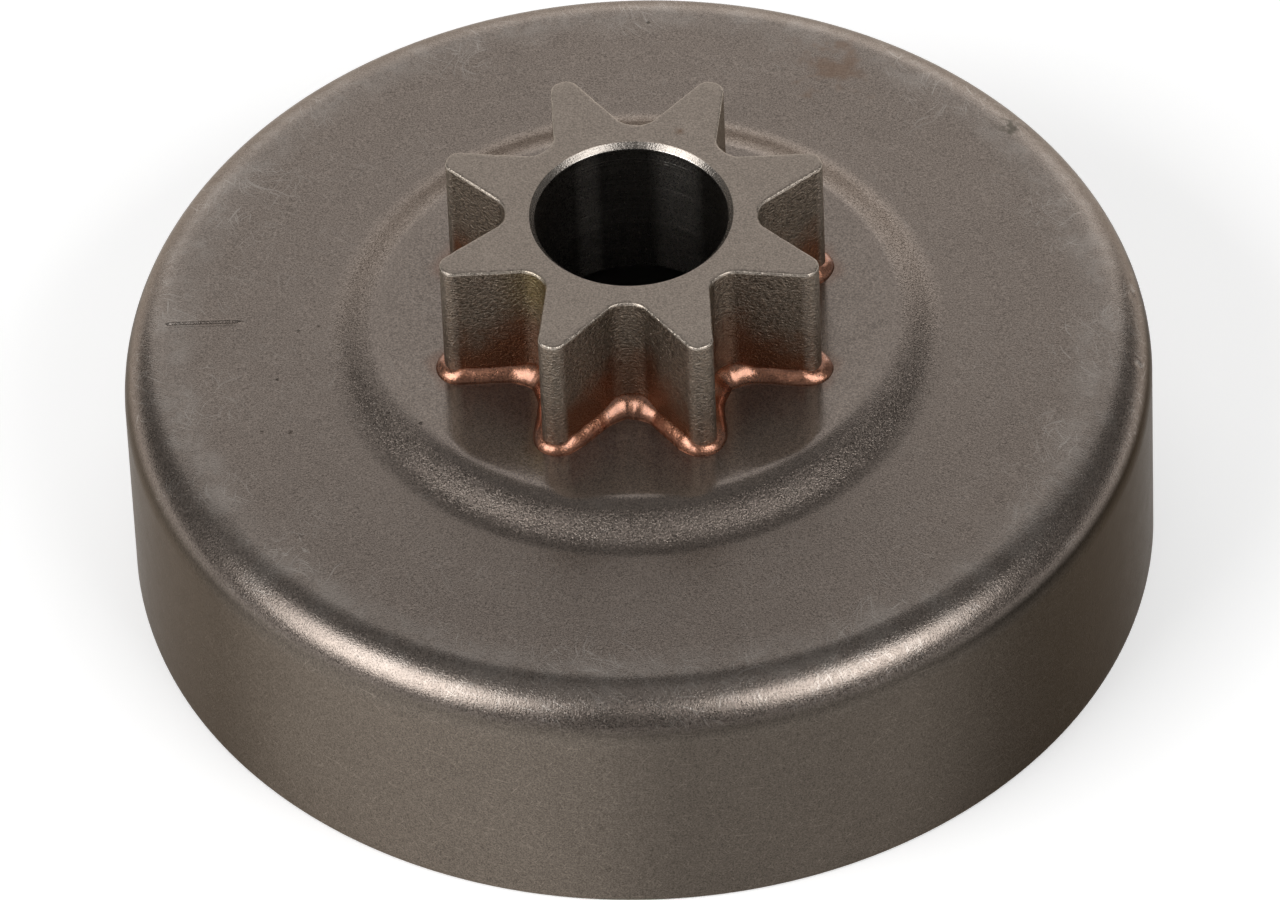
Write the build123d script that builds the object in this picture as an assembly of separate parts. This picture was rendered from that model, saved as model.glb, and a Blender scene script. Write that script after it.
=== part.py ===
from build123d import *
from math import atan, cos, degrees, radians, sin, tan
import os

# Chainsaw spur sprocket: a drawn clutch drum, open below, with a star sprocket brazed on its top.
# Millimetres. The origin is the middle of the rim that it stands on, and +Z is the bore's axis.

# Clutch drum, a cup of even sheet that stands on its open rim
drum_radius = 34.75
drum_height = 18.25
top_crown = 0.72
sheet = 2.0
drum_corner = 3.65
least_bend = 0.4
bend_reach = 0.48
rim_round = 0.3

# Boss that is pressed up in the middle of the drum's top
boss_rise = 1.43
boss_slope = 29.0
boss_land = 2.45
crest_round = 4.95
foot_round = 3.5

# Star sprocket, built outwards from its bore
teeth = 8
bore_radius = 6.5
bore_bevel = 0.4
root_wall = 2.0
tooth_depth = 5.1
tooth_height = 9.8
tooth_taper = 36.4
tip_width = 1.44
tip_round = 0.85
root_round = 1.45
face_round = 0.2

# Pilot of the sprocket in the hole of the drum
pilot_wall = 1.1
braze_gap = 0.05

# Copper bead around the foot of the teeth
bead_height = 0.65
bead_width = 0.65
bead_tip_width = 0.45
bead_root_width = 0.95
bead_crown = 0.75

# Straight line stamped in the drum's top, along -X
mark_length = 5.0
mark_width = 0.3
mark_depth = 0.12
mark_to_wall = 2.85
mark_offset = 1.1

# Heights and radii that follow from these sizes
foot_height = drum_height + top_crown
seat_height = foot_height + boss_rise
top_height = seat_height + tooth_height
inside_height = seat_height - sheet
root_radius = bore_radius + root_wall
tip_radius = root_radius + tooth_depth
pilot_radius = bore_radius + pilot_wall
hole_radius = pilot_radius + braze_gap
boss_flat_radius = tip_radius + bead_tip_width + boss_land
crest_corner = boss_flat_radius + crest_round * tan(radians(boss_slope) / 2)
foot_corner = crest_corner + boss_rise / tan(radians(boss_slope))
top_fall = top_crown / (drum_radius - foot_corner)


def bend_within(radius, run, turn):
    """A bend's radius, no larger than its share of the straight run beside it can take."""
    return min(radius, run * bend_reach / tan(radians(turn) / 2))


def sheet_path(drop, crest_bend, foot_bend, corner_bend):
    """Corners (radius, height) and bends of one side of the sheet, from the hole out to the rim.

    drop is how far this side lies below the outside of the sheet.
    """
    shift = drop * tan(radians(boss_slope) / 2)
    slope_run = boss_rise / sin(radians(boss_slope))
    wall = drum_radius - drop
    corners = [
        (hole_radius, seat_height - drop),
        (crest_corner - shift, seat_height - drop),
        (foot_corner - shift, foot_height - drop),
        (wall, drum_height - drop * (1 - top_fall)),
        (wall, 0),
    ]
    bends = [
        0,
        bend_within(crest_bend, slope_run, boss_slope),
        bend_within(foot_bend, slope_run, boss_slope),
        corner_bend,
        rim_round,
    ]
    return corners, bends


def clutch_drum():
    """The cup, turned from the section of its sheet, with the stamped line in its top."""
    outside, outside_bends = sheet_path(0, crest_round, foot_round, drum_corner)
    inside, inside_bends = sheet_path(
        sheet,
        max(crest_round - sheet, least_bend),
        foot_round + sheet,
        max(drum_corner - sheet, least_bend),
    )
    corners = outside + inside[::-1]
    bends = outside_bends + inside_bends[::-1]
    section = FilletPolyline([(radius, 0, height) for radius, height in corners], radius=bends, close=True)
    cup = revolve(make_face(section), Axis.Z)
    mark_middle = drum_radius - mark_to_wall - mark_length / 2
    mark_height = drum_height + (drum_radius - mark_middle) * top_fall
    mark = Rot(0, -degrees(atan(top_fall)), 0) * Box(mark_length, mark_width, 2 * mark_depth)
    return cup - Pos(-mark_middle, mark_offset, mark_height) * mark


def star(tip_growth, flank_growth, root_growth, tip_bend, root_bend):
    """Face of the toothed outline, grown outwards at its tips, flanks and roots. Gaps lie on X and Y."""
    half_pitch = 180 / teeth
    half_taper = radians(tooth_taper / 2)
    tip = tip_radius + tip_growth
    root = root_radius + root_growth
    tip_half = tip_width / 2 - tip_growth * tan(half_taper) + flank_growth / cos(half_taper)
    toward_gap = Vector(1, 0).rotate(Axis.Z, half_pitch)
    run = tip * toward_gap.X + tip_half * toward_gap.Y - root
    run = run / (toward_gap.X - toward_gap.Y * tan(half_taper))
    root_corner = Vector(tip - run, tip_half + run * tan(half_taper))
    tip_corner = Vector(tip, tip_half)
    floor_run = 2 * abs(root_corner.Y * toward_gap.X - root_corner.X * toward_gap.Y)
    root_bend = bend_within(root_bend, floor_run, 90 - half_pitch - tooth_taper / 2)
    tip_bend = bend_within(tip_bend, 2 * tip_half, 90 - tooth_taper / 2)
    tooth = [
        Vector(root_corner.X, -root_corner.Y),
        Vector(tip_corner.X, -tip_corner.Y),
        tip_corner,
        root_corner,
    ]
    corners = []
    for number in range(teeth):
        turn = half_pitch * (2 * number + 1)
        corners += [corner.rotate(Axis.Z, turn) for corner in tooth]
    outline = FilletPolyline(corners, radius=[root_bend, tip_bend, tip_bend, root_bend] * teeth, close=True)
    return make_face(outline)


def bore():
    """The space of the bore, with a bevelled mouth at each end."""
    section = Polyline(
        (0, 0, inside_height),
        (bore_radius + bore_bevel, 0, inside_height),
        (bore_radius, 0, inside_height + bore_bevel),
        (bore_radius, 0, top_height - bore_bevel),
        (bore_radius + bore_bevel, 0, top_height),
        (0, 0, top_height),
        close=True,
    )
    return revolve(make_face(section), Axis.Z)


def toothed_block():
    """The teeth above the drum, still without their bore."""
    block = Pos(0, 0, seat_height) * extrude(star(0, 0, 0, tip_round, root_round), tooth_height)
    face_edges = block.faces().sort_by(Axis.Z)[-1].edges()
    return fillet(face_edges, face_round)


def spur_sprocket():
    """The star with its pilot, which ends level with the inside of the drum."""
    pilot = Cylinder(pilot_radius, sheet, align=(Align.CENTER, Align.CENTER, Align.MIN))
    return toothed_block() + Pos(0, 0, inside_height) * pilot - bore()


def braze_bead():
    """The copper that has run around the foot of the star, fuller in the roots than at the tips."""
    outline = star(
        bead_tip_width,
        bead_width,
        bead_root_width,
        tip_round + bead_tip_width,
        root_round,
    )
    bank = Pos(0, 0, seat_height) * extrude(outline, bead_height)
    crest_edges = bank.faces().sort_by(Axis.Z)[-1].edges()
    bank = fillet(crest_edges, bead_crown * min(bead_height, bead_width))
    return bank - toothed_block()


os.makedirs("parts", exist_ok=True)
export_step(clutch_drum(), "parts/clutch_drum.step")
export_step(spur_sprocket(), "parts/spur_sprocket.step")
export_step(braze_bead(), "parts/braze_bead.step")
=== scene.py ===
import math

import bpy
import numpy as np
from mathutils import Matrix, Vector, noise


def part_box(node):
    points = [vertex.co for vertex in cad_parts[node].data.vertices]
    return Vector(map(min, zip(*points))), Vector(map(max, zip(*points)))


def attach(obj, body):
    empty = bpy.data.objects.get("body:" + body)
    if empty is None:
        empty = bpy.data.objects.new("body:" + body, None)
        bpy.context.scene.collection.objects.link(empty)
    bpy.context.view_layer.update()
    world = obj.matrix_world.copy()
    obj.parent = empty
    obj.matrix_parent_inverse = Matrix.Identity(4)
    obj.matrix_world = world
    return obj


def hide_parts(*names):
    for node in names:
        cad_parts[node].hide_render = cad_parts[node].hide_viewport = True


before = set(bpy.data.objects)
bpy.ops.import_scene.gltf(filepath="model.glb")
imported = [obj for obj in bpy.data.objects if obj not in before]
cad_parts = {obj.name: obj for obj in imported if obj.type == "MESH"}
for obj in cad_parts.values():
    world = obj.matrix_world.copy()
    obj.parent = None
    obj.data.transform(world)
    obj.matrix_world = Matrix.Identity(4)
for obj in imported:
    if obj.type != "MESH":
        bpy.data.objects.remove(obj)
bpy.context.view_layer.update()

# Lengths are in millimetres, and MM turns them into the frame's metres
MM = 0.001

# Radii and heights that the frame gives
DRUM_RADIUS = -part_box("clutch_drum")[0].x / MM
SEAT_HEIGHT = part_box("clutch_drum")[1].z / MM
INSIDE_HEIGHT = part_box("spur_sprocket")[0].z / MM
TOP_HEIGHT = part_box("spur_sprocket")[1].z / MM
SHEET = SEAT_HEIGHT - INSIDE_HEIGHT

# Clutch drum
DRUM_HEIGHT = 18.25
TOP_CROWN = 0.72
DRUM_CORNER = 3.65
RIM_ROUND = 0.3
HOLE_RADIUS = 7.65

# Boss pressed up in the drum's top
BOSS_FLAT_RADIUS = 16.5
BOSS_SLOPE = math.radians(29)
CREST_ROUND = 4.95
FOOT_ROUND = 3.5
BOSS_RISE = SEAT_HEIGHT - DRUM_HEIGHT - TOP_CROWN
CREST_CORNER = BOSS_FLAT_RADIUS + CREST_ROUND * math.tan(BOSS_SLOPE / 2)
FOOT_CORNER = CREST_CORNER + BOSS_RISE / math.tan(BOSS_SLOPE)
TOP_FALL = TOP_CROWN / (DRUM_RADIUS - FOOT_CORNER)

# Straight line stamped in the drum's top, along -X
MARK_INNER_END = 26.9
MARK_OUTER_END = 31.9
MARK_OFFSET = 1.1
MARK_HALF_WIDTH = 0.13
MARK_DEPTH = 0.1
MARK_LIP = 0.015

# Turn about the axis, in degrees, of the small nicks on the drum's rounded corner
UPPER_NICK_TURN = 8.9
LOWER_NICK_TURN = -2.1
LEFT_DENT_TURN = 151.9

# Columns of the drum's mesh, in degrees, which are closer around the stamped line and the nicks
DRUM_COLUMNS = 360
MARK_REACH = 1.7
MARK_COLUMN_STEP = 0.1
NICK_REACH = 1.3
NICK_COLUMN_STEP = 0.15

# Steps between a mesh's points, on arcs and on straight runs
DRUM_ARC_STEP = 0.13
DRUM_RUN_STEP = 0.42
INSIDE_ARC_STEP = 0.25
INSIDE_RUN_STEP = 1.6
STAR_ARC_STEP = 0.1
STAR_RUN_STEP = 0.17

# Star sprocket
TEETH = 8
BORE_RADIUS = 6.5
BORE_BEVEL = 0.35
BEVEL_DEPTH = 0.4
ROOT_RADIUS = 8.5
TIP_RADIUS = 13.6
TIP_WIDTH = 1.44
TOOTH_TAPER = math.radians(36.4)
TIP_ROUND = 0.85
ROOT_ROUND = 1.45
FACE_ROUND = 0.2
PILOT_RADIUS = 7.6

# Copper bead at the foot of the teeth
BEAD_WIDTH = 0.7
BEAD_ROOT_WIDTH = 1.2
BEAD_TIP_WIDTH = 0.5
BEAD_HEIGHT = 0.85
BEAD_ROOT_HEIGHT = 1.2
BEAD_TIP_HEIGHT = 0.56
BEAD_FULLNESS = 1.45
BEAD_OVERLAP = 0.05
BEAD_SOFTENING = 60
FLOOD_REACH = 1.1

# The photograph's view, turned from the -Y side towards +X and looking down
VIEW_TURN = 3.66
VIEW_ELEVATION = 45.83
VIEW_ROLL = -2.48
VIEW_DISTANCE = 1000
VIEW_AIM_SIDE = -0.1
VIEW_AIM_HEIGHT = 7.46
VIEW_LENS = 413.8
SENSOR_WIDTH = 36


def rounded_path(corners, bends, arc_step, run_step, closed):
    """Points along a path with rounded corners, at arc_step on its arcs and run_step on its straight runs."""
    corners = [np.array(corner, float) for corner in corners]
    points = []
    for number, corner in enumerate(corners):
        bend = bends[number]
        if bend == 0:
            stretch = [corner]
        else:
            back = corners[number - 1] - corner
            ahead = corners[(number + 1) % len(corners)] - corner
            back /= np.linalg.norm(back)
            ahead /= np.linalg.norm(ahead)
            turn = math.pi - math.acos(np.clip(back @ ahead, -1, 1))
            middle = (back + ahead) / np.linalg.norm(back + ahead)
            centre = corner + middle * bend / math.cos(turn / 2)
            spoke = corner + back * bend * math.tan(turn / 2) - centre
            count = max(3, math.ceil(bend * turn / arc_step))
            sweep = np.linspace(0, turn, count + 1)[:, None]
            stretch = list(centre + np.cos(sweep) * spoke - np.sin(sweep) * back * bend)
        if points:
            points += run_between(points[-1], stretch[0], run_step)
        points += stretch
    if closed:
        points += run_between(points[-1], points[0], run_step)
    return np.array(points)


def run_between(start, end, step):
    """Points inside the straight run from start to end."""
    count = math.ceil(np.linalg.norm(end - start) / step)
    return [start + (end - start) * share / count for share in range(1, count)]


def smooth_step(value):
    """0 to 1 with soft ends."""
    value = np.clip(value, 0, 1)
    return value * value * (3 - 2 * value)


def wander(places, size, seed):
    """Smooth noise from -1 to 1 at each place, with features of about size."""
    return np.array([noise.noise(Vector((*place[:2], seed * 9.7)) / size) for place in places])


def closed_mesh(name, grid, crease):
    """An object from a grid of points, columns by rows, that closes on itself both ways."""
    columns, rows = grid.shape[:2]
    here = np.arange(columns * rows).reshape(columns, rows)
    beside = np.roll(here, -1, 0)
    faces = np.stack([here, beside, np.roll(beside, -1, 1), np.roll(here, -1, 1)], -1).reshape(-1, 4)
    points = grid.reshape(-1, 3)
    corners = points[faces]
    flux = np.cross(corners[:, 1] - corners[:, 0], corners[:, 2] - corners[:, 0]) * corners[:, 0]
    if flux.sum() < 0:
        faces = faces[:, ::-1]
    mesh = bpy.data.meshes.new(name)
    mesh.from_pydata((points * MM).tolist(), [], faces.tolist())
    mesh.polygons.foreach_set("use_smooth", np.ones(len(faces), bool))
    mesh.set_sharp_from_angle(angle=math.radians(crease))
    piece = bpy.data.objects.new(name, mesh)
    bpy.context.scene.collection.objects.link(piece)
    return piece


def dress(piece, node, finish):
    """The piece stands for a CAD node and takes its finish."""
    piece.data.materials.append(finish)
    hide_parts(node)
    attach(piece, "root")


def sheet_side(drop, crest_bend, foot_bend, corner_bend):
    """Corners and bends of one side of the drum's sheet, from the hole to the middle of the rim."""
    shift = drop * math.tan(BOSS_SLOPE / 2)
    wall = DRUM_RADIUS - drop
    corners = [
        (HOLE_RADIUS, SEAT_HEIGHT - drop),
        (CREST_CORNER - shift, SEAT_HEIGHT - drop),
        (FOOT_CORNER - shift, SEAT_HEIGHT - BOSS_RISE - drop),
        (wall, DRUM_HEIGHT - drop * (1 - TOP_FALL)),
        (wall, 0),
        (DRUM_RADIUS - SHEET / 2, 0),
    ]
    return corners, [0, crest_bend, foot_bend, corner_bend, RIM_ROUND, 0]


def finer_columns(angles, middle, half, step):
    """The angles, with closer ones around the middle."""
    kept = angles[abs(angles - middle) > half]
    return np.sort(np.append(kept, np.arange(middle - half, middle + half, step)))


def drum_columns():
    """Angles of the drum's columns, closer together where its top is stamped or nicked."""
    angles = np.linspace(-180, 180, DRUM_COLUMNS, endpoint=False)
    mark_middle = (MARK_INNER_END + MARK_OUTER_END) / 2
    mark_turn = 180 - math.degrees(math.asin(MARK_OFFSET / mark_middle))
    angles = finer_columns(angles, mark_turn, MARK_REACH, MARK_COLUMN_STEP)
    for turn in (UPPER_NICK_TURN, LOWER_NICK_TURN, LEFT_DENT_TURN):
        angles = finer_columns(angles, turn, NICK_REACH, NICK_COLUMN_STEP)
    return np.radians(angles)


def stamped_line(points):
    """How far the stamped line moves the drum's top at each point."""
    across = abs(points[..., 1] - MARK_OFFSET)
    past_end = np.maximum(-points[..., 0] - MARK_OUTER_END, points[..., 0] + MARK_INNER_END)
    inside = smooth_step(-past_end / 0.15) * (points[..., 2] > DRUM_HEIGHT - 1)
    groove = -MARK_DEPTH * smooth_step(1.2 - across / MARK_HALF_WIDTH)
    lip = MARK_LIP * np.exp(-((across - 1.5 * MARK_HALF_WIDTH) / 0.1) ** 2)
    return (groove + lip) * inside


def nick(points, turn, tilt, size, depth):
    """How deep a nick on the rounded corner is at each point."""
    turn = math.radians(turn)
    tilt = math.radians(tilt)
    reach = DRUM_RADIUS - DRUM_CORNER * (1 - math.sin(tilt))
    height = DRUM_HEIGHT - DRUM_CORNER * (1 - math.cos(tilt))
    place = np.array([reach * math.cos(turn), reach * math.sin(turn), height])
    return depth * np.exp(-((points - place) ** 2).sum(-1) / size ** 2)


def make_drum():
    """The drawn cup, turned from its sheet's section, then stamped and nicked."""
    outer = sheet_side(0, CREST_ROUND, FOOT_ROUND, DRUM_CORNER)
    outside = rounded_path(*outer, DRUM_ARC_STEP, DRUM_RUN_STEP, False)
    inner = sheet_side(SHEET, CREST_ROUND - SHEET, FOOT_ROUND + SHEET, DRUM_CORNER - SHEET)
    inside = rounded_path(*inner, INSIDE_ARC_STEP, INSIDE_RUN_STEP, False)
    section = np.concatenate([outside, inside[-2::-1]])
    angles = drum_columns()
    spokes = np.stack([np.cos(angles), np.sin(angles)], -1)
    grid = np.zeros((len(angles), len(section), 3))
    grid[..., :2] = spokes[:, None, :] * section[None, :, :1]
    grid[..., 2] = section[None, :, 1]
    slopes = np.roll(section, -1, 0) - np.roll(section, 1, 0)
    normals = np.stack([-slopes[:, 1], slopes[:, 0]], -1)
    normals /= np.linalg.norm(normals, axis=1)[:, None]
    depth = nick(grid, UPPER_NICK_TURN, 46, 0.35, 0.07)
    depth += nick(grid, LOWER_NICK_TURN, 48, 0.3, 0.06)
    depth += nick(grid, LEFT_DENT_TURN, 34, 0.5, 0.05)
    on_outside = np.arange(len(section)) < len(outside)
    depth *= on_outside
    grid[..., :2] -= spokes[:, None, :] * (normals[:, 0] * depth)[..., None]
    grid[..., 2] += stamped_line(grid) * on_outside - normals[:, 1] * depth
    return closed_mesh("drum_shell", grid, 40)


def star_outline():
    """Points around the toothed outline, with gaps on the X and Y axes."""
    half_pitch = math.pi / TEETH
    slant = math.tan(TOOTH_TAPER / 2)
    tip_half = TIP_WIDTH / 2
    run = TIP_RADIUS * math.cos(half_pitch) + tip_half * math.sin(half_pitch) - ROOT_RADIUS
    run /= math.cos(half_pitch) - math.sin(half_pitch) * slant
    root_along = TIP_RADIUS - run
    root_across = tip_half + run * slant
    tooth = np.array([
        (root_along, -root_across),
        (TIP_RADIUS, -tip_half),
        (TIP_RADIUS, tip_half),
        (root_along, root_across),
    ])
    corners = []
    for number in range(TEETH):
        turn = half_pitch * (2 * number + 1)
        along = np.array([math.cos(turn), math.sin(turn)])
        across = np.array([-math.sin(turn), math.cos(turn)])
        corners += list(tooth[:, :1] * along + tooth[:, 1:] * across)
    bends = [ROOT_ROUND, TIP_ROUND, TIP_ROUND, ROOT_ROUND] * TEETH
    return rounded_path(corners, bends, STAR_ARC_STEP, STAR_RUN_STEP, True)


def outward(outline):
    """Unit vectors out of the closed outline at each of its points."""
    along = np.roll(outline, -1, 0) - np.roll(outline, 1, 0)
    along /= np.linalg.norm(along, axis=1)[:, None]
    return np.stack([along[:, 1], -along[:, 0]], -1)


def level(places, height):
    """Points over places in the plane, at a height or at a height for each."""
    return np.column_stack([places, np.broadcast_to(height, len(places))])


def make_sprocket(outline):
    """The star, its rounded upper edge a little uneven, with its pilot and bevelled bore."""
    away = outward(outline)
    spokes = outline / np.linalg.norm(outline, axis=1)[:, None]
    mouth = spokes * (BORE_RADIUS + BORE_BEVEL)
    edge = FACE_ROUND * (1 + 0.25 * wander(outline, 1.4, 1) + 0.2 * wander(outline, 0.35, 2))
    rows = [
        level(mouth, INSIDE_HEIGHT),
        level(spokes * PILOT_RADIUS, INSIDE_HEIGHT),
        level(spokes * PILOT_RADIUS, SEAT_HEIGHT),
    ]
    for share in np.linspace(0, 1, 34):
        height = SEAT_HEIGHT + share * (TOP_HEIGHT - edge - SEAT_HEIGHT)
        rows.append(level(outline, height))
    for turn in np.linspace(0, math.pi / 2, 6)[1:]:
        inset = edge * (1 - math.cos(turn))
        rows.append(level(outline - away * inset[:, None], TOP_HEIGHT - edge * (1 - math.sin(turn))))
    face_edge = rows[-1][:, :2]
    for share in np.linspace(0, 1, 11)[1:]:
        rows.append(level(face_edge + (mouth - face_edge) * share, TOP_HEIGHT))
    for height in np.linspace(TOP_HEIGHT - BEVEL_DEPTH, INSIDE_HEIGHT + BEVEL_DEPTH, 12):
        rows.append(level(spokes * BORE_RADIUS, height))
    return closed_mesh("star_sprocket", np.stack(rows, 1), 30)


def bead_size(share, root, flank, tip):
    """A width or height of the bead at a share of the way from the roots to the tips."""
    in_root = smooth_step(1 - share / 0.32)
    at_tip = smooth_step((share - 0.8) / 0.2)
    return flank + (root - flank) * in_root + (tip - flank) * at_tip


def flood(outline, tooth, width):
    """Extra width of the bead where copper has spread out from the tip of a tooth."""
    turn = (2 * tooth + 1) * math.pi / TEETH
    tip = TIP_RADIUS * np.array([math.cos(turn), math.sin(turn)])
    return width * np.exp(-(((outline - tip) ** 2).sum(1)) / FLOOD_REACH ** 2)


def softened(directions, rounds):
    """Directions along a closed outline, each turned towards its neighbours' a number of times."""
    for _ in range(rounds):
        directions = np.roll(directions, 1, 0) + 2 * directions + np.roll(directions, -1, 0)
        directions = directions / np.linalg.norm(directions, axis=1)[:, None]
    return directions


def make_bead(outline):
    """The copper that has run around the foot of the star, uneven and fuller in the roots."""
    away = softened(outward(outline), BEAD_SOFTENING)
    share = (np.linalg.norm(outline, axis=1) - ROOT_RADIUS) / (TIP_RADIUS - ROOT_RADIUS)
    width = bead_size(share, BEAD_ROOT_WIDTH, BEAD_WIDTH, BEAD_TIP_WIDTH)
    height = bead_size(share, BEAD_ROOT_HEIGHT, BEAD_HEIGHT, BEAD_TIP_HEIGHT)
    off_root = smooth_step(share / 0.35)
    width = width * (1 + 0.13 * wander(outline, 1.7, 4) + 0.06 * wander(outline, 0.5, 5) * off_root)
    height = height * (1 + 0.15 * wander(outline, 1.3, 6))
    width += flood(outline, 0, 0.1) + flood(outline, 7, 0.3) + flood(outline, 4, 0.12)
    rows = []
    for turn in np.linspace(0, math.pi / 2, 10):
        out = width * math.sin(turn) ** (2 / BEAD_FULLNESS)
        up = height * math.cos(turn) ** (2 / BEAD_FULLNESS)
        ripple = 0.015 * off_root * math.sin(2 * turn)
        ripple = ripple * wander(outline + away * out[:, None] + up[:, None], 0.4, 7)
        rows.append(level(outline + away * (out + ripple)[:, None], SEAT_HEIGHT + up + ripple))
    back = outline - away * BEAD_OVERLAP
    rows.append(level(back, SEAT_HEIGHT))
    rows.append(level(back, SEAT_HEIGHT + height))
    return closed_mesh("copper_bead", np.stack(rows, 1), 60)


class Tone:
    """An output of a node. Arithmetic on tones and numbers adds Math nodes."""

    def __init__(self, nodes, socket):
        self.nodes = nodes
        self.socket = socket

    def math(self, operation, *others):
        return self.nodes.node("ShaderNodeMath", {"operation": operation}, dict(enumerate((self, *others))))

    def __add__(self, other):
        return self.math("ADD", other)

    def __sub__(self, other):
        return self.math("SUBTRACT", other)

    def __rsub__(self, other):
        return self.nodes.node("ShaderNodeMath", {"operation": "SUBTRACT"}, {0: other, 1: self})

    def __mul__(self, other):
        return self.math("MULTIPLY", other)

    def __truediv__(self, other):
        return self.math("DIVIDE", other)

    __radd__ = __add__
    __rmul__ = __mul__

    def within(self, low, high):
        """0 at low, 1 at high, soft between them and level beyond them."""
        return self.nodes.node(
            "ShaderNodeMapRange",
            {"interpolation_type": "SMOOTHSTEP"},
            {"Value": self, "From Min": low, "From Max": high},
        )


class Nodes:
    """A node tree, and the one method that adds nodes to it."""

    def __init__(self, tree):
        self.tree = tree
        tree.nodes.clear()

    def node(self, kind, settings, sockets, output=0):
        made = self.tree.nodes.new(kind)
        for name, value in settings.items():
            setattr(made, name, value)
        for name, value in sockets.items():
            socket = made.inputs[name]
            if isinstance(value, Tone):
                self.tree.links.new(value.socket, socket)
            elif socket.type == "RGBA":
                socket.default_value = (*value, 1)
            else:
                socket.default_value = value
        return Tone(self, made.outputs[output]) if made.outputs else None

    def split(self, vector):
        parts = self.node("ShaderNodeSeparateXYZ", {}, {0: vector}).socket.node.outputs
        return [Tone(self, part) for part in parts]

    def join(self, x, y, z):
        return self.node("ShaderNodeCombineXYZ", {}, {0: x, 1: y, 2: z})

    def mix(self, share, first, second):
        """Colour between first and second."""
        return self.node("ShaderNodeMix", {"data_type": "RGBA"}, {0: share, 6: first, 7: second}, 2)

    def shade(self, colour, value):
        """The colour times a value."""
        settings = {"data_type": "RGBA", "blend_type": "MULTIPLY"}
        return self.node("ShaderNodeMix", settings, {0: 1, 6: colour, 7: value}, 2)

    def cloud(self, place, size, detail=2, rough=0.5, output=0):
        """Noise from 0 to 1 with features of about size."""
        sockets = {"Vector": place, "Scale": 1 / size, "Detail": detail, "Roughness": rough}
        return self.node("ShaderNodeTexNoise", {}, sockets, output)


class Finish(Nodes):
    """A procedural metal finish, with the place on the part in millimetres."""

    def __init__(self, name):
        self.material = bpy.data.materials.new(name)
        self.material.use_nodes = True
        super().__init__(self.material.node_tree)
        metres = self.node("ShaderNodeTexCoord", {}, {}, "Object")
        self.place = self.node("ShaderNodeVectorMath", {"operation": "SCALE"}, {0: metres, "Scale": 1 / MM})
        self.x, self.y, self.z = self.split(self.place)
        self.radius = (self.x * self.x + self.y * self.y).math("SQRT")
        self.turn = self.y.math("ARCTAN2", self.x)

    def star_distance(self):
        """How far a place lies outside the toothed outline, seen along the axis."""
        half_pitch = math.pi / TEETH
        off_tooth = half_pitch - self.turn.math("PINGPONG", half_pitch)
        along = self.radius * off_tooth.math("COSINE")
        across = self.radius * off_tooth.math("SINE")
        slant = math.tan(TOOTH_TAPER / 2)
        flank = (across - TIP_WIDTH / 2 - (TIP_RADIUS - along) * slant) * math.cos(TOOTH_TAPER / 2)
        tooth = flank.math("SMOOTH_MAX", along - TIP_RADIUS, 0.8)
        floor = along * math.cos(half_pitch) + across * math.sin(half_pitch) - ROOT_RADIUS
        return tooth.math("SMOOTH_MIN", floor, 0.8)

    def skin(self, size):
        """A fine cloud and raised grains, with features of about size."""
        fine = self.cloud(self.place, size, 2, 0.6)
        grains = self.cloud(self.place, size + 0.01, 1, 0.5).within(0.5, 0.74)
        return fine, grains

    def spot(self, x, y, size, ragged):
        """1 at a place seen along the axis, fading with a ragged edge to 0 at size."""
        off_x = self.x - x
        off_y = self.y - y
        away = (off_x * off_x + off_y * off_y).math("SQRT")
        return (away + (self.cloud(self.place, size / 2, 2, 0.6) - 0.5) * ragged).within(size, 0)

    def hair_scratches(self, place, turn, length, width, amount):
        """Fine straight scratches along one direction, in the place's first two axes."""
        sockets = {"Vector": place, "Angle": turn}
        turned = self.node("ShaderNodeVectorRotate", {"rotation_type": "Z_AXIS"}, sockets)
        squeeze = {0: turned, 1: (1 / length, 1 / width, 1)}
        squeezed = self.node("ShaderNodeVectorMath", {"operation": "MULTIPLY"}, squeeze)
        return self.cloud(squeezed, 1, 1.5, 0.5).within(1 - amount, 1.06 - amount)

    def pits(self, spacing, size, share):
        """Small round pits, in a share of the cells of a loose grid."""
        sockets = {"Vector": self.place, "Scale": 1 / spacing}
        cells = self.node("ShaderNodeTexVoronoi", {"feature": "F1"}, sockets, "Distance")
        chance = self.split(Tone(self, cells.socket.node.outputs["Color"]))[0]
        return (cells * spacing).within(size, size * 0.4) * chance.within(1 - share, 1.02 - share)

    def surface(self, colour, edge_tint, metallic, roughness, height, coat=0.0):
        """The finished material, with height in millimetres as bump."""
        normal = self.node("ShaderNodeBump", {}, {"Height": height, "Distance": MM, "Strength": 1})
        sockets = {
            "Base Color": colour,
            "Specular Tint": edge_tint,
            "Metallic": metallic,
            "Roughness": roughness,
            "Coat Weight": coat,
            "Coat Roughness": 0.2,
            "Normal": normal,
        }
        shader = self.node("ShaderNodeBsdfPrincipled", {}, sockets)
        self.node("ShaderNodeOutputMaterial", {}, {"Surface": shader})
        return self.material


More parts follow.
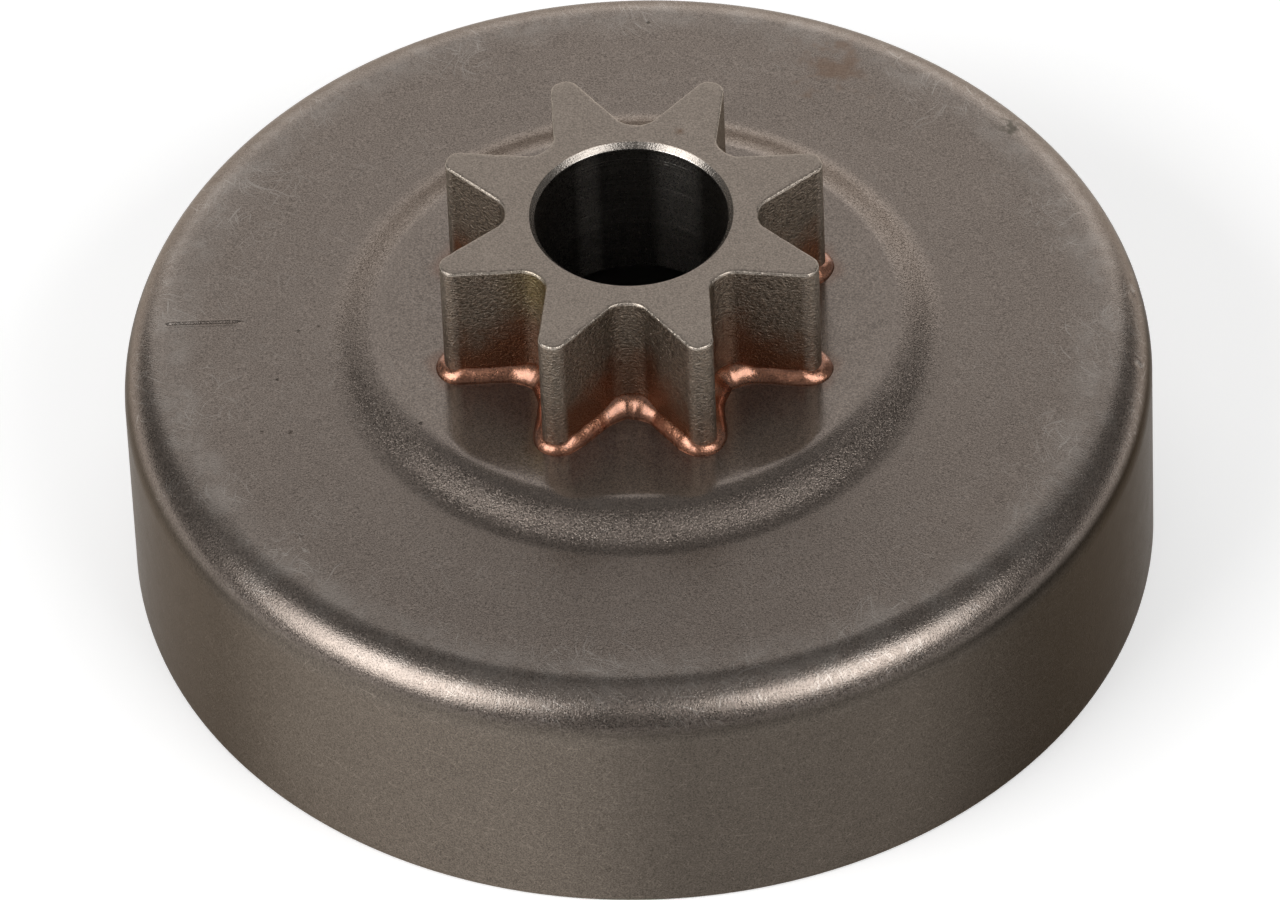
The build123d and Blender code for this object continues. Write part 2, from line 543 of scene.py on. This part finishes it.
def drum_steel():
    """Drawn bare steel: warm grey, satin, scratched and worn, with two stains and a copper haze; its wall is
    painted darker than its top, with a patch of painted light and a patch of painted shade.
    """
    steel = Finish("drum_steel")
    place = steel.place
    around = steel.turn * DRUM_RADIUS
    on_wall = steel.z.within(16.9, 15.9)
    on_seat = steel.z.within(SEAT_HEIGHT - 0.3, SEAT_HEIGHT - 0.1)
    on_slope = steel.radius.within(16.8, 18.6) * steel.radius.within(20.9, 19.9)
    on_corner = steel.radius.within(31.4, 32.8)
    near_rim = steel.radius.within(26, 31)
    fine, grains = steel.skin(0.11)
    drawn = steel.cloud(steel.join(around * 4, steel.z * 1.3, steel.radius * 1.3), 0.6, 2, 0.6)
    mottle = steel.cloud(place, 6, 4, 0.6)
    smear = steel.cloud(place, 1.8, 3, 0.65)

    sway = {0: steel.cloud(place, 5, 1, 0.5, 1), 1: (5, 5, 0), 2: place}
    bent = steel.node("ShaderNodeVectorMath", {"operation": "MULTIPLY_ADD"}, sway)
    scratches = steel.hair_scratches(bent, 0.5, 2.2, 0.1, 0.37)
    scratches = scratches.math("MAXIMUM", steel.hair_scratches(bent, 2.2, 2.6, 0.1, 0.36))
    scratches = scratches.math("MAXIMUM", steel.hair_scratches(bent, 1.2, 1.4, 0.09, 0.37))
    scuffed = steel.cloud(place, 5, 3, 0.6).within(0.42, 0.58) * (0.3 + near_rim * 0.7)
    flat_wall = steel.join(around, steel.z, 0)
    wall_scratches = steel.hair_scratches(flat_wall, 0.1, 2.4, 0.1, 0.34)
    wall_scratches = wall_scratches.math("MAXIMUM", steel.hair_scratches(flat_wall, 0.9, 1.2, 0.09, 0.34))
    wall_scratches = wall_scratches.math("MAXIMUM", steel.hair_scratches(flat_wall, 2.2, 1.2, 0.09, 0.34))
    wall_scratches = wall_scratches * on_wall
    scratches = scratches * scuffed * (1 - on_wall)
    pits = steel.pits(3.5, 0.2, 0.1) * (1 - on_wall)
    pits = pits.math("MAXIMUM", steel.spot(-22.8, 0, 0.22, 0.2))
    pits = pits.math("MAXIMUM", steel.spot(-21.5, 0.4, 0.2, 0.2))
    pits = pits.math("MAXIMUM", steel.spot(-24, -4.5, 0.22, 0.2))
    pits = pits.math("MAXIMUM", steel.spot(-22.9, -9.4, 0.22, 0.2))
    rust = steel.spot(12.4, 25.9, 2.9, 9)
    smudge = steel.spot(24.9, 20.4, 1.1, 3)
    haze = (steel.star_distance() + (smear - 0.5) * 0.8).within(1.5, 0.5) * on_seat
    worn = (steel.radius + smear * 3).within(30.2, 33) * (steel.radius + smear * 1.5).within(35, 33)
    worn = worn * (1 - on_wall) * (0.35 + steel.cloud(place, 2.6, 4, 0.65).within(0.45, 0.62) * 0.65)
    # Painted light: a paler patch on the wall about the turn of -113 degrees. Painted shade: a darker patch
    # about -17 degrees. The wall is also darker along its top, under the corner.
    painted_light_patch = (steel.turn + math.radians(113)).math("COSINE").within(0.86, 1)
    painted_shade_patch = (steel.turn + math.radians(17)).math("COSINE").within(0.74, 0.95)
    wall_painted_light_and_shade = 0.75 + painted_light_patch * 0.5 - painted_shade_patch * 0.42 - steel.z.within(15.2, 16) * 0.15

    contrast = 2.0 + on_slope * 0.6
    tone = 0.95 + (mottle - 0.5) * 0.16 + (fine - 0.5) * contrast
    tone = tone + (drawn - 0.5) * 0.25 + (smear - 0.5) * 0.12 + wall_scratches * 0.5
    # The wall's steel is painted darker than the top's: painted shade.
    shaded_wall_colour = steel.shade((0.129, 0.1085, 0.09), wall_painted_light_and_shade)
    colour = steel.mix(on_wall, (0.243, 0.203, 0.176), shaded_wall_colour)
    colour = steel.shade(colour, tone)
    colour = steel.mix(scratches * 0.65, colour, (0.42, 0.38, 0.345))
    colour = steel.mix(worn * 0.36, colour, (0.4, 0.365, 0.335))
    colour = steel.mix(pits * 0.7, colour, (0.05, 0.04, 0.032))
    colour = steel.mix(haze * 0.3, colour, (0.2, 0.09, 0.055))
    colour = steel.mix(rust * 0.4, colour, (0.2, 0.1, 0.045))
    colour = steel.mix(smudge * 0.55, colour, (0.07, 0.065, 0.04))
    metallic = 1 - rust * 0.4 - smudge * 0.4 - on_seat * 0.17
    roughness = 0.28 + (fine - 0.5) * 0.2 + (smear - 0.5) * 0.1 - on_seat * 0.14 + on_wall * 0.06
    roughness = roughness + rust * 0.2 + smudge * 0.3
    grain = (fine - 0.5) * (0.008 + on_slope * 0.016)
    grain = grain + grains * (0.004 + on_slope * 0.01 + on_corner * 0.002)
    grain = (grain + (drawn - 0.5) * 0.008 + (smear - 0.5) * 0.006) * (1 - on_seat * 0.7)
    return steel.surface(colour, (0.6, 0.55, 0.505), metallic, roughness, grain - pits * 0.02)


def sprocket_steel():
    """Hard grainy steel: ground top face, dark flanks with a copper flush, bright edges, painted highlights
    on the tip rounds, turned bore with two painted highlight streaks.
    """
    steel = Finish("sprocket_steel")
    place = steel.place
    rise = steel.z - SEAT_HEIGHT
    on_face = steel.z.within(TOP_HEIGHT - 0.05, TOP_HEIGHT - 0.01)
    in_bore = steel.radius.within(BORE_RADIUS + 0.06, BORE_RADIUS + 0.02)
    bevel_edge = BORE_RADIUS + BORE_BEVEL
    on_bevel = steel.radius.within(bevel_edge, bevel_edge - 0.04) * (1 - in_bore)
    on_flank = (1 - on_face) * steel.radius.within(7.6, 8)
    on_edge = steel.z.within(TOP_HEIGHT - 0.26, TOP_HEIGHT - 0.16) * on_flank
    on_tip = steel.radius.within(12.75, 13.15) * on_flank
    fine, grains = steel.skin(0.12)
    long_grain = steel.cloud(steel.join(steel.x, steel.y, steel.z * 1.6), 0.25, 2, 0.6)
    mottle = steel.cloud(place, 2.5, 4, 0.6)
    turned = steel.cloud(steel.join(steel.turn * 0.02, steel.z / 0.1, 0), 1, 2, 0.7)
    in_root = steel.radius.within(11, 8.8)
    flush = (rise - in_root * 1.8 - (mottle - 0.5) * 6).within(5.6, 1.8) * on_flank
    flush = flush * (1 - on_tip * 0.7) * (1 - steel.radius.within(9.2, 8.7) * 0.45)
    off_tint = (steel.turn + 0.75 * math.pi).math("ABSOLUTE")
    tint = off_tint.within(0.26, 0.05) * steel.z.within(24.5, 28.5) * on_flank
    speck = steel.spot(3.0, 7.8, 0.5, 0.6) * on_face
    # Two bright streaks painted down the bore at fixed turns: painted highlights.
    painted_bore_highlights = (steel.turn - math.radians(120)).math("COSINE").within(0.985, 1) * 0.7
    painted_bore_highlights = painted_bore_highlights + (steel.turn - math.radians(63)).math("COSINE").within(0.94, 1)

    tone = 0.95 + (mottle - 0.5) * 0.2 + (fine - 0.5) * (1.5 - on_bevel) + (long_grain - 0.5) * on_flank * 2.6
    colour = steel.mix(on_face, (0.21, 0.173, 0.136), (0.345, 0.292, 0.249))
    bore_colour = steel.mix(painted_bore_highlights, (0.22, 0.203, 0.186), (0.75, 0.7, 0.65))
    colour = steel.mix(in_bore, colour, bore_colour)
    colour = steel.mix(on_bevel, colour, (0.335, 0.303, 0.272))
    colour = steel.shade(colour, tone)
    colour = steel.mix(flush * 0.9, colour, (0.18, 0.075, 0.038))
    colour = steel.mix(tint * 0.5, colour, (0.3, 0.235, 0.09))
    # Lighter strips on the tip rounds, where the copper flush stops: painted highlight.
    colour = steel.mix(on_tip * (1 - flush) * 0.3, colour, (0.45, 0.39, 0.33))
    colour = steel.mix(on_edge * 0.6, colour, (0.5, 0.44, 0.38))
    colour = steel.mix(speck * 0.5, colour, (0.16, 0.08, 0.04))
    roughness = 0.42 + (fine - 0.5) * 0.25 - (in_bore + on_bevel) * 0.14 - on_flank * 0.04 - on_edge * 0.08
    rugged = on_flank * (1 - on_edge * 0.8)
    height = (fine - 0.5) * 0.014 + grains * (0.005 + rugged * 0.024) + (long_grain - 0.5) * 0.11 * rugged
    height = height + (turned - 0.5) * (in_bore * 0.05 + on_bevel * 0.008)
    return steel.surface(colour, (0.8, 0.74, 0.68), 1.0, roughness, height)


def braze_copper():
    """Satin copper with a fine grainy, slightly oxidised skin, painted darker in the roots as painted shade.
    """
    copper = Finish("braze_copper")
    fine, grains = copper.skin(0.14)
    patch = copper.cloud(copper.place, 1.4, 3, 0.6)
    colour = copper.mix(patch.within(0.35, 0.7), (0.43, 0.198, 0.121), (0.31, 0.138, 0.082))
    in_root = copper.radius.within(10.6, 9.4)
    grain = (fine - 0.5) * (1 - in_root * 0.6)
    # The bead's colour is darker in the roots between the teeth: painted shade.
    colour = copper.shade(colour, 0.95 + grain * 1.6 - in_root * 0.24)
    roughness = 0.31 + (fine - 0.5) * 0.2 + (patch - 0.5) * 0.2 - in_root * 0.02
    height = grain * 0.016 + grains * (1 - in_root * 0.6) * 0.008
    return copper.surface(colour, (0.9, 0.8, 0.75), 1.0, roughness, height, 0.8)


def studio_floor():
    """A pale matt floor that looks white to the camera and in the metal, and keeps the shadow."""
    material = bpy.data.materials.new("studio_floor")
    material.use_nodes = True
    nodes = Nodes(material.node_tree)
    rays = nodes.node("ShaderNodeLightPath", {}, {}, "Is Camera Ray")
    glossy = Tone(nodes, rays.socket.node.outputs["Is Glossy Ray"])
    passing = Tone(nodes, rays.socket.node.outputs["Is Transmission Ray"])
    seen = rays.math("MAXIMUM", glossy).math("MAXIMUM", passing)
    place = nodes.node("ShaderNodeTexCoord", {}, {}, "Object")
    off_axis = nodes.node("ShaderNodeVectorMath", {"operation": "LENGTH"}, {0: place}, "Value")
    outside = off_axis.math("GREATER_THAN", (DRUM_RADIUS - SHEET) * MM)
    pale = nodes.node("ShaderNodeBsdfDiffuse", {}, {"Color": (0.92, 0.92, 0.92)})
    glow = nodes.node("ShaderNodeEmission", {}, {"Color": (1, 1, 1), "Strength": 0.36})
    lifted = nodes.node("ShaderNodeAddShader", {}, {0: pale, 1: glow})
    shader = nodes.node("ShaderNodeMixShader", {}, {0: seen * outside, 1: pale, 2: lifted})
    nodes.node("ShaderNodeOutputMaterial", {}, {"Surface": shader})
    return material


def from_view(turn, elevation):
    """Direction from the part, turned to the right of the camera and raised, in degrees."""
    turn = math.radians(turn + VIEW_TURN)
    elevation = math.radians(elevation)
    reach = math.cos(elevation)
    return Vector((math.sin(turn) * reach, -math.cos(turn) * reach, math.sin(elevation)))


def place_camera():
    """The photograph's camera."""
    back = from_view(0, VIEW_ELEVATION)
    right = from_view(90, 0)
    up = back.cross(right)
    roll = math.radians(VIEW_ROLL)
    tilted_right = right * math.cos(roll) + up * math.sin(roll)
    tilted_up = up * math.cos(roll) - right * math.sin(roll)
    aim = right * VIEW_AIM_SIDE + Vector((0, 0, VIEW_AIM_HEIGHT))
    lens = bpy.data.cameras.new("photograph_view")
    lens.lens = VIEW_LENS
    lens.sensor_width = SENSOR_WIDTH
    camera = bpy.data.objects.new("photograph_view", lens)
    bpy.context.scene.collection.objects.link(camera)
    axes = Matrix((tilted_right, tilted_up, back)).transposed().to_4x4()
    camera.matrix_world = Matrix.Translation((aim + back * VIEW_DISTANCE) * MM) @ axes
    bpy.context.scene.camera = camera


def softbox(name, turn, elevation, distance, width, height, radiance):
    """A rectangular lamp that faces the part, with its sizes in metres."""
    lamp = bpy.data.lights.new(name, "AREA")
    lamp.shape = "RECTANGLE"
    lamp.size = width
    lamp.size_y = height
    lamp.energy = radiance * math.pi * width * height
    box = bpy.data.objects.new(name, lamp)
    bpy.context.scene.collection.objects.link(box)
    box.location = from_view(turn, elevation) * distance
    box.rotation_euler = (-box.location).to_track_quat("-Z", "Y").to_euler()
    box.visible_camera = False


def studio():
    """Two softboxes in front, panels behind and above, a dim room and the floor."""
    softbox("left_softbox", -57, 36.5, 0.7, 0.5, 0.4, 4.6)
    softbox("right_softbox", 45, 41.5, 0.7, 0.48, 0.35, 3.9)
    softbox("rear_panel", 180, 29.5, 0.95, 1.5, 1.0, 0.65)
    softbox("low_right_panel", 162, 12, 0.9, 0.7, 0.4, 0.76)
    softbox("low_left_panel", -158, 12, 0.9, 0.6, 0.4, 0.4)
    softbox("overhead_panel", 0, 82, 0.8, 0.45, 0.42, 0.22)
    world = bpy.data.worlds.new("room")
    world.use_nodes = True
    bpy.context.scene.world = world
    nodes = Nodes(world.node_tree)
    room = nodes.node("ShaderNodeBackground", {}, {"Color": (1.0, 0.985, 0.97), "Strength": 0.155})
    nodes.node("ShaderNodeOutputWorld", {}, {"Surface": room})
    bpy.ops.mesh.primitive_circle_add(vertices=96, radius=4, fill_type="NGON")
    floor = bpy.context.object
    floor.name = "studio_floor"
    floor.data.materials.append(studio_floor())


outline = star_outline()
dress(make_drum(), "clutch_drum", drum_steel())
dress(make_sprocket(outline), "spur_sprocket", sprocket_steel())
dress(make_bead(outline), "braze_bead", braze_copper())
place_camera()
studio()
bpy.context.scene.view_settings.view_transform = "Standard"
